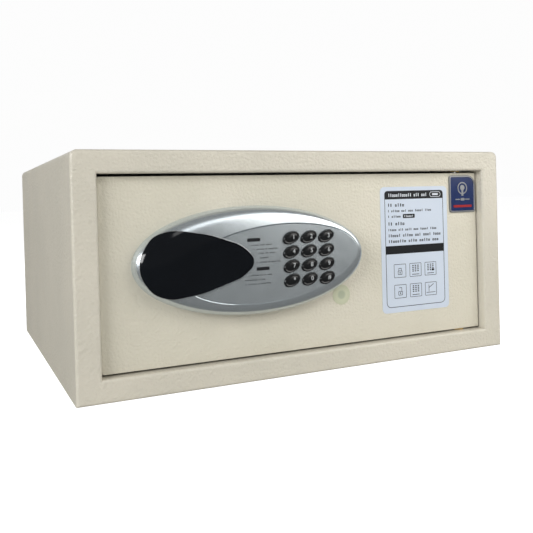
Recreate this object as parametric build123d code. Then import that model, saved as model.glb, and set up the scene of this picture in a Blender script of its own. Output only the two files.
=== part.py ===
from build123d import *
from math import asin, atan2, cos, pi, radians, sin, sqrt, tan
import os

os.makedirs("parts", exist_ok=True)

# Hotel in-room safe: a steel cabinet with a recessed door, hinged on the right, and a motor
# that drives two bolts to the left. Millimetres, +Z up, +X to the right seen from the front,
# the front faces -Y, and the origin is the centre of the cabinet's footprint.

# cabinet
width = 430.0
depth = 370.0
height = 200.0
body_wall = 2.0
top_bend = 6.0            # outside radius of the wrap's two top bends
frame_wall = 3.0          # front ring
stile = 20.5              # width of the ring at the sides
rail = 19.0               # width of the ring at top and bottom
return_wall = 2.0         # lining of the door opening, folded back from the ring
return_depth = 46.0
edge_round = 2.5          # rounded edges of the ring
anchor_hole = 10.0        # diameter, floor and rear holes
anchor_x = 240.0          # spacing of the floor holes
anchor_y = 180.0
rear_anchor_x = 240.0
rear_anchor_z = 100.0     # height of the rear holes
mat_wall = 3.0
mat_gap = 2.0

# door
recess = 9.0              # door face behind the front ring
door_wall = 4.0
door_corner = 1.5
gap_left = 1.5
gap_right = 1.8
gap_top = 2.3
gap_bottom = 1.8

# hinge pins, vertical, behind the right edge of the door
hinge_inset = 22.0        # pin axis to the door's right edge
pin_radius = 3.0
pin_clear = 0.05          # running clearance in the bush
pin_behind = 0.2          # pin surface to the back of the door plate
block_width = 14.0
block_depth = 10.0
block_height = 24.0
bush_wall = 1.6
bush_flange = 0.8
bush_flange_wide = 2.0    # flange beyond the bush's barrel
hinge_plate_wall = 4.0
hinge_plate_width = 36.0
pin_stick = 1.0           # pin beyond the hinge plate
washer_clear = 0.05

# door stops
stop_leg = 9.0
stop_wall = 1.5
stop_foot = 12.0          # depth of the foot on the lining
stop_end_left = 14.0      # stop's end to the opening's left wall
stop_end_right = 18.0     # stop's end to the lock box's right wall
bumper_from_end = 14.0    # bumper centre to the stop's end
stop_behind = 1.5         # stop to door back, the bumper fills it
bumper_clear = 0.1
bumper_radius = 4.0

# lock box behind the door
box_wall = 1.5
box_side_gap = 7.0        # box to the left edge of the door
box_hinge_gap = 34.7      # box to the right edge of the door
box_rail_gap = 9.2        # box to the top and bottom of the door
box_lip = 8.0
cover_wall = 1.2
screw_radius = 2.0
screw_head = 3.5
screw_head_wall = 2.2
screw_clear = 0.2
cover_screw_inset = 5.0

# bolt work
bolt_radius = 8.0
bolt_spacing = 76.0
bolt_travel = 15.0
bolt_tip_inset = 3.0      # retracted tip to the opening's left wall
bolt_length = 41.5
bolt_door_gap = 7.0       # bolt's surface to the door plate
bolt_box_gap = 5.0        # bolt's surface to the back of the lock box
bolt_tip_chamfer = 1.0
bolt_hole_clear = 0.5
keeper_wall = 4.0
keeper_margin = 14.0
guide_wall = 4.0
guide_clear = 0.1
guide_from_box = 8.0      # guide wall to the box's left wall
guide_margin_z = 5.0      # guide beyond the bolts' outlines, up and down
guide_margin_y = 2.5      # and to the back
guide_foot = 14.0
guide_foot_wall = 3.0
carriage_wall = 4.0
carriage_margin = 3.0     # carriage beyond the bolts' outlines
tenon_radius = 4.0

# rack and pinion
gear_module = 1.0
pinion_teeth = 14
pressure_angle = 20.0
addendum = 0.8            # in modules, stub teeth
dedendum = 1.05
backlash = 0.12
rack_height = 8.0
rack_base = 4.0           # rack body behind the tooth roots
rack_start = 19.0         # carriage to the first tooth
rack_teeth = 11
pinion_from_carriage = 28.0
pinion_height = 8.0
shaft_radius = 1.5
shaft_clear = 0.05
shaft_above = 2.0
rack_pad_clear = 0.05
rack_pad_start = 4.0      # pad's left end to the carriage
rack_pad_end = 18.0       # pad's right end beyond the pinion's axis

# gear motor, hanging under the pinion
gearbox_width = 12.0
gearbox_depth = 10.0
gearbox_height = 9.0
motor_radius = 6.0
motor_flat = 5.0
motor_length = 15.0
shelf_wall = 1.5
shelf_gap = 0.75          # shelf to the pinion
shaft_socket = 5.0
bracket_margin = 3.0      # shelf beyond the gearbox, left and right
bracket_foot = 6.0        # foot beyond the shelf, left and right
bracket_foot_height = 22.0

# electronics and batteries behind the door
board_width = 70.0
board_height = 60.0
board_wall = 1.6
board_lift = 12.0
board_from_left = 193.0   # board's middle to the door's left edge
board_hole_inset = 4.0
board_hole = 1.6          # radius
standoff_radius = 3.0
cell_radius = 7.25
cell_length = 49.5
cell_tip = 1.0
cell_tip_radius = 2.75
cell_gap = 0.6
cell_count = 4
tray_wall = 1.5
contact_space = 3.0
contact_wall = 0.4
tray_flange = 3.0
tray_flange_wall = 1.2
tray_from_right = 98.7    # tray's middle to the door's right edge
tray_clear = 0.3
lid_wall = 1.5

# oval control panel on the door
panel_from_left = 132.8   # panel's middle to the door's left edge
panel_above_mid = 5.25    # and above the door's middle
panel_a = 107.5           # half length at the door
panel_b = 47.4            # half height at the door
panel_proud = 16.5        # keypad face in front of the door
panel_wall = 2.4
face_right = 14.0         # keypad face, an ellipse turned up to the right, from the panel's middle
face_down = 2.6
face_a = 85.0
face_b = 33.3
face_turn = 5.1
panel_steps = [0.0, 0.30, 0.58, 0.82, 1.0]
backplate_wall = 3.0
backplate_clear = 0.4
panel_screw_z = 36.0
panel_screw_left = 89.0
panel_screw_right = 90.0
boss_radius = 4.0
boss_length = 5.5

# display lens over the panel's left end
lens_tip_left = 5.8       # lens tip to the panel's middle
lens_up = 0.3             # lens axis above the panel's middle
lens_tip_round = 8.0
lens_rim = 3.8            # lens edge inside the panel's outline at the left end
lens_proud = 0.9
lens_wall = 2.0
lens_clear = 0.15

# keypad
key_right = 30.3          # first column from the panel's middle
key_up = 18.2             # first row above the panel's middle
key_pitch_x = 17.5
key_pitch_z = 12.38
key_columns = 3
key_rows = 4
key_a = 8.05
key_b = 5.1
key_turn = 21.0
key_proud = 1.6
key_clear = 0.25
key_travel = 1.2
key_flange = 0.45
key_flange_wall = 1.0
key_flange_gap = 0.05
key_stem_radius = 2.0
key_round = 0.6
stem_gap = 0.15           # pressed stem to the dome
mat_hole_clear = 0.4
keymat_wall = 1.0
keymat_gap = 0.3
dome_radius = 2.5
dome_height = 1.0
pad_board_wall = 1.6
pad_board_margin = 6.0
pad_board_round = 8.0
digit_count = 4
digit_width = 8.0
digit_height = 14.0
digit_depth = 5.0
display_left = 51.8       # display's middle to the panel's middle

# flat trim on the door
label_from_right = 77.4   # label's middle to the door's right edge
label_above_mid = 5.25
label_width = 80.4
label_height = 122.2
label_wall = 0.3
label_round = 3.5
badge_from_right = 17.5   # badge's middle to the door's right edge
badge_from_top = 21.1     # and to its top edge
badge_width = 33.4
badge_height = 37.6
badge_wall = 1.4
badge_round = 2.5
badge_big_round = 7.0
disc_right = 89.6         # disc's middle from the panel's middle
disc_down = 38.4
disc_radius = 9.2
disc_wall = 0.4

# wiring
wire_radius = 1.6
wire_bend = 5.0
wire_lift = 3.5           # cable axis behind the door plate
wire_hole = 20.0
wire_hole_right = 8.0     # hole from the panel's middle

# derived places
y_front = -depth / 2
y_back = depth / 2
x_side = width / 2
open_x = x_side - stile
open_low = rail
open_top = height - rail
y_face = y_front + recess
y_door = y_face + door_wall           # back of the door plate
door_left = -open_x + gap_left
door_right = open_x - gap_right
door_low = open_low + gap_bottom
door_top = open_top - gap_top
door_mid = (door_low + door_top) / 2
panel_x = door_left + panel_from_left
panel_z = door_mid + panel_above_mid
face_x = panel_x + face_right
face_z = panel_z - face_down
lens_tip_x = panel_x - lens_tip_left
lens_z = panel_z + lens_up
key_x = panel_x + key_right
key_z = panel_z + key_up
display_x = panel_x - display_left
wire_hole_x = panel_x + wire_hole_right
disc_x = panel_x + disc_right
disc_z = panel_z - disc_down
label_x = door_right - label_from_right
label_z = door_mid + label_above_mid
badge_x = door_right - badge_from_right
badge_z = door_top - badge_from_top
board_x = door_left + board_from_left
tray_x = door_right - tray_from_right
pin_x = door_right - hinge_inset
pin_y = y_door + pin_behind + pin_radius
bush_radius = pin_radius + pin_clear + bush_wall
box_left = door_left + box_side_gap
box_right = door_right - box_hinge_gap
box_low = door_low + box_rail_gap
box_top = door_top - box_rail_gap
bolt_y = y_door + bolt_door_gap + bolt_radius
y_box = bolt_y + bolt_radius + bolt_box_gap   # back of the lock box
y_lip = y_box - box_wall
y_cover = y_box + cover_wall
bolt_tip = -open_x + bolt_tip_inset
bolt_end = bolt_tip + bolt_length
bolt_z = [door_mid - bolt_spacing / 2, door_mid + bolt_spacing / 2]
carriage_left = bolt_end
carriage_right = bolt_end + carriage_wall
pinion_radius = gear_module * pinion_teeth / 2
pinion_x = carriage_right + pinion_from_carriage
rack_back = bolt_y - bolt_radius - carriage_margin + 0.05
rack_root = rack_back + rack_base
rack_pitch_y = rack_root + dedendum * gear_module
pinion_y = rack_pitch_y + pinion_radius
y_panel = y_face - panel_proud        # keypad face
y_shell = y_panel + panel_wall        # its inner side
y_key_back = y_shell + key_flange_gap + key_flange_wall
y_keymat = y_key_back + key_travel + keymat_gap
y_stem_end = y_keymat + keymat_wall
y_dome = y_stem_end + key_travel + stem_gap
y_pad_board = y_dome + dome_height


def block(x0, x1, y0, y1, z0, z1):
    """A box between two corners."""
    low = Pos((x0 + x1) / 2, (y0 + y1) / 2, (z0 + z1) / 2)
    return low * Box(x1 - x0, y1 - y0, z1 - z0)


def rod_x(x0, x1, y, z, radius):
    """A round bar along X."""
    return Pos((x0 + x1) / 2, y, z) * Rot(0, 90, 0) * Cylinder(radius, x1 - x0)


def rod_y(y0, y1, x, z, radius):
    """A round bar along Y."""
    return Pos(x, (y0 + y1) / 2, z) * Rot(90, 0, 0) * Cylinder(radius, y1 - y0)


def rod_z(z0, z1, x, y, radius):
    """A round bar along Z."""
    return Pos(x, y, (z0 + z1) / 2) * Cylinder(radius, z1 - z0)


def front_plane(y):
    """Drawing plane parallel to the door: local x is +X, local y is +Z, and it faces the front."""
    return Plane(origin=(0, y, 0), x_dir=(1, 0, 0), z_dir=(0, -1, 0))


def prism(outline, y_back_side, y_front_side):
    """A flat outline, drawn as seen from the front, with its thickness along Y."""
    return extrude(front_plane(y_back_side) * outline, amount=y_back_side - y_front_side)


def group(solids):
    """Separate solids that share one node."""
    return Compound(children=list(solids))


# ---------------------------------------------------------------- cabinet

def cabinet_block(inset, y0, y1, z0):
    """The cabinet's outline with its two top bends, smaller all round by inset."""
    outer = block(-x_side + inset, x_side - inset, y0, y1, z0, height - inset)
    return fillet(outer.edges().filter_by(Axis.Y).group_by(Axis.Z)[-1], top_bend - inset)


def make_outer_wrap():
    """Top and both sides, one folded sheet, from the front ring to the back."""
    y0 = y_front + frame_wall
    return cabinet_block(0, y0, y_back, 0) - cabinet_block(body_wall, y0 - 1, y_back + 1, -1)


def make_floor_panel():
    """Floor sheet between the sides, with four anchor holes."""
    x = x_side - body_wall
    floor = block(-x, x, y_front + frame_wall, y_back, 0, body_wall)
    for hx in (-anchor_x / 2, anchor_x / 2):
        for hy in (-anchor_y / 2, anchor_y / 2):
            floor -= rod_z(-1, body_wall + 1, hx, hy, anchor_hole / 2)
    return floor


def make_rear_panel():
    """Rear sheet inside the wrap, on the floor, with two anchor holes."""
    panel = cabinet_block(body_wall, y_back - body_wall, y_back, body_wall)
    for hx in (-rear_anchor_x / 2, rear_anchor_x / 2):
        panel -= rod_y(y_back - body_wall - 1, y_back + 1, hx, rear_anchor_z, anchor_hole / 2)
    return panel


def make_front_frame():
    """Front ring with the lining of the door opening folded back, bolt holes and bush holes."""
    ring = cabinet_block(0, y_front, y_front + frame_wall, 0)
    out_x = open_x + return_wall
    lining = block(-out_x, out_x, y_front, y_front + return_depth,
                   open_low - return_wall, open_top + return_wall)
    frame = ring + lining
    frame -= block(-open_x, open_x, y_front - 1, y_front + return_depth + 1, open_low, open_top)
    front = frame.faces().filter_by(Axis.Y).sort_by(Axis.Y)[0]
    frame = fillet(front.edges(), edge_round)
    for z in bolt_z:
        frame -= rod_x(-out_x - 1, -open_x + 1, bolt_y, z, bolt_radius + 2 * bolt_hole_clear)
    for z0, z1 in ((open_top - 1, open_top + return_wall + 1), (open_low - return_wall - 1, open_low + 1)):
        frame -= rod_z(z0, z1, pin_x, pin_y, bush_radius)
    return frame


def make_bolt_keeper():
    """Thick strip behind the left lining that the bolts shoot into."""
    x1 = -open_x - return_wall
    keeper = block(x1 - keeper_wall, x1, bolt_y - keeper_margin, bolt_y + keeper_margin,
                   bolt_z[0] - 2 * keeper_margin, bolt_z[1] + 2 * keeper_margin)
    for z in bolt_z:
        keeper -= rod_x(x1 - keeper_wall - 1, x1 + 1, bolt_y, z, bolt_radius + bolt_hole_clear)
    return keeper


def make_hinge_plate(z0):
    """Doubler welded to the lining, which carries a hinge bush."""
    half = hinge_plate_width / 2
    plate = block(pin_x - half, pin_x + half, y_front + frame_wall, y_front + return_depth,
                  z0, z0 + hinge_plate_wall)
    return plate - rod_z(z0 - 1, z0 + hinge_plate_wall + 1, pin_x, pin_y, bush_radius)


def make_hinge_bush(wall_z, outward):
    """Flanged bush through the lining and its doubler; outward is +1 above and -1 below."""
    barrel_end = wall_z + outward * (return_wall + hinge_plate_wall)
    flange_end = wall_z - outward * bush_flange
    barrel = rod_z(min(wall_z, barrel_end), max(wall_z, barrel_end), pin_x, pin_y, bush_radius)
    flange = rod_z(min(wall_z, flange_end), max(wall_z, flange_end), pin_x, pin_y,
                   bush_radius + bush_flange_wide)
    low = min(flange_end, barrel_end) - 1
    high = max(flange_end, barrel_end) + 1
    return barrel + flange - rod_z(low, high, pin_x, pin_y, pin_radius + pin_clear)


stop_y = y_door + stop_behind
stop_left = -open_x + stop_end_left
stop_right = box_right - stop_end_right


def make_door_stop(wall_z, inward):
    """Angle strip that the door closes against; inward is -1 at the top and +1 at the bottom."""
    foot = wall_z + inward * stop_wall
    tip = wall_z + inward * stop_leg
    leg_y = stop_y + stop_wall
    strip = block(stop_left, stop_right, stop_y, stop_y + stop_foot, min(wall_z, foot), max(wall_z, foot))
    return strip + block(stop_left, stop_right, stop_y, leg_y, min(wall_z, tip), max(wall_z, tip))


def make_door_bumpers():
    """Four rubber buttons on the front of the stops."""
    z_high = open_top - stop_leg / 2 - 0.5 * gap_top
    z_low = open_low + stop_leg / 2 + 0.5 * gap_bottom
    ends = (stop_left + bumper_from_end, stop_right - bumper_from_end)
    spots = [(x, z) for x in ends for z in (z_low, z_high)]
    height_left = stop_leg / 2 - 0.5 * gap_top
    radius = min(bumper_radius, height_left)
    return group(rod_y(y_door + bumper_clear, stop_y, x, z, radius) for x, z in spots)


def make_carpet_mat():
    """Felt mat on the floor, cut out round the anchor holes."""
    x = x_side - body_wall - mat_gap
    y0 = y_front + frame_wall + mat_gap
    y1 = y_back - body_wall - mat_gap
    mat = block(-x, x, y0, y1, body_wall, body_wall + mat_wall)
    for hx in (-anchor_x / 2, anchor_x / 2):
        for hy in (-anchor_y / 2, anchor_y / 2):
            mat -= rod_z(body_wall - 1, body_wall + mat_wall + 1, hx, hy, anchor_hole)
    return mat


# ---------------------------------------------------------------- door

panel_screws_at = [
    (panel_x - panel_screw_left, panel_z),
    (panel_x + panel_screw_right, panel_z),
    (panel_x, panel_z + panel_screw_z),
    (panel_x, panel_z - panel_screw_z),
]


def make_door_plate():
    """Flat door leaf with screw holes for the panel and a hole for its wires."""
    leaf = block(door_left, door_right, y_face, y_door, door_low, door_top)
    leaf = fillet(leaf.edges().filter_by(Axis.Y), door_corner)
    for x, z in panel_screws_at:
        leaf -= rod_y(y_face - 1, y_door + 1, x, z, screw_radius + screw_clear)
    return leaf - rod_y(y_face - 1, y_door + 1, wire_hole_x, panel_z, wire_hole / 2)


def make_hinge_block(z0):
    """Steel block welded behind the door's right edge, which holds a pin."""
    half = block_width / 2
    body = block(pin_x - half, pin_x + half, y_door, y_door + block_depth, z0, z0 + block_height)
    return body - rod_z(z0 - 1, z0 + block_height + 1, pin_x, pin_y, pin_radius)


def make_hinge_pin(z0, z1):
    """Steel pin with chamfered ends."""
    pin = rod_z(z0, z1, pin_x, pin_y, pin_radius)
    return chamfer(pin.edges(), 0.4)


def make_thrust_washer():
    """Brass ring under the lower block, which carries the door on the lower bush."""
    low = open_low + bush_flange + washer_clear
    ring = rod_z(low, door_low, pin_x, pin_y, bush_radius + bush_flange_wide)
    return ring - rod_z(low - 1, door_low + 1, pin_x, pin_y, pin_radius)


cover_screws_at = [
    (x, z)
    for x in (box_left + cover_screw_inset, (box_left + box_right) / 2, box_right - cover_screw_inset)
    for z in (box_low + cover_screw_inset, box_top - cover_screw_inset)
]
cell_pitch = 2 * cell_radius + cell_gap
tray_in_x = cell_length + cell_tip + contact_space
tray_in_z = cell_count * cell_pitch + cell_gap
tray_in_y = 2 * cell_radius + 0.7
tray_half_x = tray_in_x / 2 + tray_wall
tray_half_z = tray_in_z / 2 + tray_wall


def make_lock_box():
    """Four-sided box welded to the door, with a lip for the cover and holes for the bolts."""
    box = block(box_left, box_right, y_door, y_box, box_low, box_top)
    w = box_wall
    box -= block(box_left + w, box_right - w, y_door - 1, y_lip, box_low + w, box_top - w)
    lip = box_lip + w
    box -= block(box_left + lip, box_right - lip, y_lip - 1, y_box + 1, box_low + lip, box_top - lip)
    for z in bolt_z:
        box -= rod_x(box_left - 1, box_left + w + 1, bolt_y, z, bolt_radius + bolt_hole_clear)
    for x, z in cover_screws_at:
        box -= rod_y(y_lip - 1, y_box + 1, x, z, screw_radius)
    return box


def make_inner_cover():
    """Sheet cover over the lock box, cut out for the battery tray."""
    cover = block(box_left, box_right, y_box, y_cover, box_low, box_top)
    cut_x = tray_half_x + tray_clear
    cut_z = tray_half_z + tray_clear
    cover -= block(tray_x - cut_x, tray_x + cut_x, y_box - 1, y_cover + 1, door_mid - cut_z, door_mid + cut_z)
    for x, z in cover_screws_at:
        cover -= rod_y(y_box - 1, y_cover + 1, x, z, screw_radius + screw_clear)
    return fillet(cover.edges().filter_by(Axis.Y).group_by(Axis.X)[0], door_corner)


def pan_head_screw(x, z, y_seat, length):
    """Pan-head screw whose head sits on y_seat and whose shank runs to the front."""
    shank = rod_y(y_seat - length, y_seat, x, z, screw_radius)
    head = rod_y(y_seat, y_seat + screw_head_wall, x, z, screw_head)
    head = fillet(head.faces().sort_by(Axis.Y)[-1].edges(), 0.8)
    slot = block(x - 0.4, x + 0.4, y_seat + screw_head_wall - 1, y_seat + screw_head_wall + 1,
                 z - 2, z + 2)
    cross = block(x - 2, x + 2, y_seat + screw_head_wall - 1, y_seat + screw_head_wall + 1,
                  z - 0.4, z + 0.4)
    return shank + head - slot - cross


def make_cover_screws():
    """Six screws through the cover into the box's lip."""
    return group(pan_head_screw(x, z, y_cover, cover_wall + box_wall + 3) for x, z in cover_screws_at)


def make_battery_tray():
    """Open plastic tray for the cells, with a flange on the cover."""
    y_bottom = y_cover - tray_in_y - tray_wall
    tray = block(tray_x - tray_half_x, tray_x + tray_half_x, y_bottom, y_cover,
                 door_mid - tray_half_z, door_mid + tray_half_z)
    edge_x = tray_half_x + tray_flange
    edge_z = tray_half_z + tray_flange
    tray += block(tray_x - edge_x, tray_x + edge_x, y_cover, y_cover + tray_flange_wall,
                  door_mid - edge_z, door_mid + edge_z)
    return tray - block(tray_x - tray_in_x / 2, tray_x + tray_in_x / 2, y_bottom + tray_wall,
                        y_cover + tray_flange_wall + 1, door_mid - tray_in_z / 2, door_mid + tray_in_z / 2)


cell_y = y_cover - tray_in_y + cell_radius + 0.3
cells_z = [door_mid + (i - (cell_count - 1) / 2) * cell_pitch for i in range(cell_count)]


def make_batteries():
    """Four cells, head to tail."""
    cells = []
    for i, z in enumerate(cells_z):
        x0 = tray_x - (cell_length + cell_tip) / 2
        way = 1 if i % 2 == 0 else -1
        start = x0 if way == 1 else x0 + cell_tip
        can = rod_x(start, start + cell_length, cell_y, z, cell_radius)
        can = fillet(can.edges(), 0.6)
        tip_start = start + cell_length if way == 1 else start - cell_tip
        cells.append(can + rod_x(tip_start, tip_start + cell_tip, cell_y, z, cell_tip_radius))
    return group(cells)


def make_battery_contacts():
    """Spring plates at both ends of every cell."""
    plates = []
    half = cell_radius - 1.5
    reach = tray_in_x / 2
    cell_half = (cell_length + cell_tip) / 2
    for z in cells_z:
        for side in (-1, 1):
            wall = tray_x + side * reach
            inner = wall - side * contact_wall
            plate = block(min(wall, inner), max(wall, inner), cell_y - half, cell_y + half, z - half, z + half)
            end = tray_x + side * (cell_half + 0.1)
            plates.append(plate + rod_x(min(inner, end), max(inner, end), cell_y, z, 2.2))
    return group(plates)


def make_battery_lid():
    """Snap-on lid over the tray, with finger ribs."""
    y0 = y_cover + tray_flange_wall
    edge_x = tray_half_x + tray_flange
    edge_z = tray_half_z + tray_flange
    lid = block(tray_x - edge_x, tray_x + edge_x, y0, y0 + lid_wall, door_mid - edge_z, door_mid + edge_z)
    lid = fillet(lid.edges().filter_by(Axis.Y), 3)
    for i in range(4):
        x = tray_x + edge_x - 6 - 3 * i
        lid -= block(x - 0.6, x + 0.6, y0 + lid_wall - 0.7, y0 + lid_wall + 1, door_mid - 9, door_mid + 9)
    return lid


def make_bolt_guide():
    """Angle bracket: its foot is on the door plate and both bolts slide in its wall."""
    x0 = box_left + guide_from_box
    z0 = bolt_z[0] - bolt_radius - guide_margin_z
    z1 = bolt_z[1] + bolt_radius + guide_margin_z
    guide = block(x0, x0 + guide_wall, y_door, bolt_y + bolt_radius + guide_margin_y, z0, z1)
    guide += block(x0, x0 + guide_foot, y_door, y_door + guide_foot_wall, z0, z1)
    for z in bolt_z:
        guide -= rod_x(x0 - 1, x0 + guide_wall + 1, bolt_y, z, bolt_radius + guide_clear)
    return guide


def make_board():
    """Lock controller circuit board."""
    y0 = y_door + board_lift
    board = block(board_x - board_width / 2, board_x + board_width / 2, y0, y0 + board_wall,
                  door_mid - board_height / 2, door_mid + board_height / 2)
    for x, z in standoff_spots:
        board -= rod_y(y0 - 1, y0 + board_wall + 1, x, z, board_hole)
    return board


standoff_spots = [
    (board_x + sx * (board_width / 2 - board_hole_inset), door_mid + sz * (board_height / 2 - board_hole_inset))
    for sx in (-1, 1)
    for sz in (-1, 1)
]


# plug sockets on the board: centre x, centre z, width, height and thickness
motor_plug = (-20, -18, 12, 8, 6.5)
battery_plug = (6, -20, 22, 7, 6.5)


def make_board_parts():
    """Chip, relay, capacitors, buzzer and plug sockets on the back of the controller board."""
    y0 = y_door + board_lift + board_wall
    chips = [(-12, 8, 14, 14, 1.6), (14, 12, 19, 15, 9.0), motor_plug, battery_plug]
    solids = [
        block(board_x + x - w / 2, board_x + x + w / 2, y0, y0 + t, door_mid + z - h / 2, door_mid + z + h / 2)
        for x, z, w, h, t in chips
    ]
    solids.append(rod_y(y0, y0 + 8, board_x - 18, door_mid - 5, 5))
    solids.append(rod_y(y0, y0 + 9.5, board_x + 25, door_mid - 10, 4))
    return group(solids)


def make_standoffs():
    """Posts under the board's corners."""
    posts = []
    for x, z in standoff_spots:
        post = rod_y(y_door, y_door + board_lift, x, z, standoff_radius)
        posts.append(post)
    return group(posts)


# ---------------------------------------------------------------- bolt work

def make_bolt(z):
    """Round bolt with a bevelled tip and a tenon into the carriage, drawn back."""
    bolt = rod_x(bolt_tip, bolt_end, bolt_y, z, bolt_radius)
    bolt = chamfer(bolt.edges().group_by(Axis.X)[0], bolt_tip_chamfer)
    return bolt + rod_x(bolt_end, carriage_right, bolt_y, z, tenon_radius)


def make_carriage():
    """Bar that joins the two bolts."""
    reach = bolt_radius + carriage_margin
    bar = block(carriage_left, carriage_right, bolt_y - reach + 0.05, bolt_y + bolt_radius,
                bolt_z[0] - reach, bolt_z[1] + reach)
    for z in bolt_z:
        bar -= rod_x(carriage_left - 1, carriage_right + 1, bolt_y, z, tenon_radius)
    return bar


def make_rack():
    """Straight rack on the carriage; its teeth face the back and mesh with the pinion."""
    m = gear_module
    pitch = pi * m
    slope = tan(radians(pressure_angle))
    half_root = pitch / 4 - backlash / 4 + dedendum * m * slope
    half_tip = pitch / 4 - backlash / 4 - addendum * m * slope
    y_tip = rack_pitch_y + addendum * m
    first = pinion_x + pitch * (0.5 - round((pinion_x - carriage_right - rack_start) / pitch + 0.5))
    points = [(carriage_right, rack_back), (carriage_right, rack_root)]
    for i in range(rack_teeth):
        x = first + i * pitch
        points += [(x - half_root, rack_root), (x - half_tip, y_tip)]
        points += [(x + half_tip, y_tip), (x + half_root, rack_root)]
    end = first + (rack_teeth - 1) * pitch + half_root + 1.5
    points += [(end, rack_root), (end, rack_back)]
    low = Plane(origin=(0, 0, door_mid - rack_height / 2))
    return extrude(low * make_face(Polyline(points, close=True)), amount=rack_height)


def make_rack_pad():
    """Nylon wear pad between the rack and the door plate."""
    reach = rack_height / 2
    return block(carriage_right + rack_pad_start, pinion_x + rack_pad_end, y_door, rack_back - rack_pad_clear,
                 door_mid - reach, door_mid + reach)


def involute(radius, base):
    """Polar angle by which an involute from this base circle has unwound at a radius."""
    roll = sqrt(max(radius * radius / (base * base) - 1, 0))
    return roll - atan2(roll, 1)


def make_pinion():
    """Spur pinion with involute flanks and one tooth pointing at the rack."""
    m = gear_module
    r = pinion_radius
    base = r * cos(radians(pressure_angle))
    tip = r + addendum * m
    root = r - dedendum * m
    half_pitch = pi / (2 * pinion_teeth) - backlash / (4 * r)
    steps = 5
    start = max(base, root)
    radii = [start + (tip - start) * i / steps for i in range(steps + 1)]
    flank = [(q, half_pitch + involute(r, base) - involute(q, base)) for q in radii]
    foot = flank[0][1]
    points = []
    for i in range(pinion_teeth):
        middle = -pi / 2 + 2 * pi * i / pinion_teeth
        up = [(root, middle - foot)] + [(q, middle - a) for q, a in flank]
        down = [(q, middle + a) for q, a in reversed(flank)] + [(root, middle + foot)]
        points += [(q * cos(a), q * sin(a)) for q, a in up + down]
    low = Plane(origin=(pinion_x, pinion_y, door_mid - pinion_height / 2))
    wheel = extrude(low * make_face(Polyline(points, close=True)), amount=pinion_height)
    return wheel - rod_z(door_mid - pinion_height, door_mid + pinion_height, pinion_x, pinion_y, shaft_radius)


shelf_top = door_mid - pinion_height / 2 - shelf_gap
gearbox_top = shelf_top - shelf_wall


def make_output_shaft():
    """Gearbox output shaft, from its socket up through the pinion."""
    z0 = gearbox_top - shaft_socket + 0.1
    return rod_z(z0, door_mid + pinion_height / 2 + shaft_above, pinion_x, pinion_y, shaft_radius)


def make_gearbox():
    """Metal gearbox under the shelf, with a socket for its output shaft."""
    w = gearbox_width / 2
    d = gearbox_depth / 2
    case = block(pinion_x - w, pinion_x + w, pinion_y - d, pinion_y + d, gearbox_top - gearbox_height, gearbox_top)
    return case - rod_z(gearbox_top - shaft_socket, gearbox_top + 1, pinion_x, pinion_y, shaft_radius + shaft_clear)


def make_motor_can():
    """Small motor with two flats, under the gearbox."""
    z1 = gearbox_top - gearbox_height
    can = rod_z(z1 - motor_length, z1, pinion_x, pinion_y, motor_radius)
    keep = block(pinion_x - motor_radius, pinion_x + motor_radius, pinion_y - motor_flat, pinion_y + motor_flat,
                 z1 - motor_length, z1)
    return can & keep


def make_motor_bracket():
    """Angle bracket: its foot is on the door plate and its shelf holds the gearbox."""
    w = gearbox_width / 2 + bracket_margin
    foot = block(pinion_x - w - bracket_foot, pinion_x + w + bracket_foot, y_door, y_door + shelf_wall,
                 shelf_top - bracket_foot_height, shelf_top)
    shelf = block(pinion_x - w, pinion_x + w, y_door, pinion_y + gearbox_depth / 2, shelf_top - shelf_wall, shelf_top)
    return foot + shelf - rod_z(shelf_top - shelf_wall - 1, shelf_top + 1, pinion_x, pinion_y, shaft_radius + 1)


# ---------------------------------------------------------------- control panel

def panel_section(share, inset):
    """One elliptical section of the panel; share is 0 at the door and 1 at the keypad face."""
    drop = 1 - cos(share * pi / 2) ** 0.75
    mix = min(max(drop, 0), 1)
    x = panel_x + (face_x - panel_x) * mix
    z = panel_z + (face_z - panel_z) * mix
    a = panel_a + (face_a - panel_a) * mix - inset
    b = panel_b + (face_b - panel_b) * mix - inset
    return Pos(x, z) * Ellipse(a, b, rotation=face_turn * mix)


def panel_loft(inset, y_top):
    """Solid dome of the panel, from the door to y_top, smaller all round by inset."""
    rise = y_face - y_top
    sections = [
        front_plane(y_face - rise * sin(share * pi / 2)) * panel_section(share, inset)
        for share in panel_steps
    ]
    return loft(sections)


def lens_outline(inset):
    """Pointed oval: it follows the panel at the left and closes in a round tip at the right."""
    left_x = panel_x - panel_a + lens_rim
    tip = lens_tip_x - inset
    r = lens_tip_round - inset
    joint_x = panel_x - 86.0
    joint_z = 28.4 - inset
    top = [
        (joint_x + inset, lens_z + joint_z),
        (joint_x + 30.0, lens_z + 23.9 - inset),
        (joint_x + 54.0, lens_z + 16.6 - inset),
        (tip - 0.55 * r, lens_z + 0.93 * r),
    ]
    low = [(x, 2 * lens_z - z) for x, z in reversed(top)]
    upper = Spline(top, tangents=[(1, 0.02), (0.75, -0.66)])
    nose = ThreePointArc(top[-1], (tip, lens_z), low[0])
    lower = Spline(low, tangents=[(-0.75, -0.66), (-1, 0.02)])
    back = ThreePointArc(low[-1], (left_x + inset, lens_z), top[0])
    return make_face([upper, nose, lower, back])


def lens_prism(inset, y0, y1):
    """The lens outline with thickness."""
    return prism(lens_outline(inset), y0, y1)


key_spots = [
    (key_x + c * key_pitch_x, key_z - r * key_pitch_z)
    for r in range(key_rows)
    for c in range(key_columns)
]


def key_ellipse(x, z, grow):
    """Key outline, a tilted ellipse, larger all round by grow."""
    return Pos(x, z) * Ellipse(key_a + grow, key_b + grow, rotation=key_turn)


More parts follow.
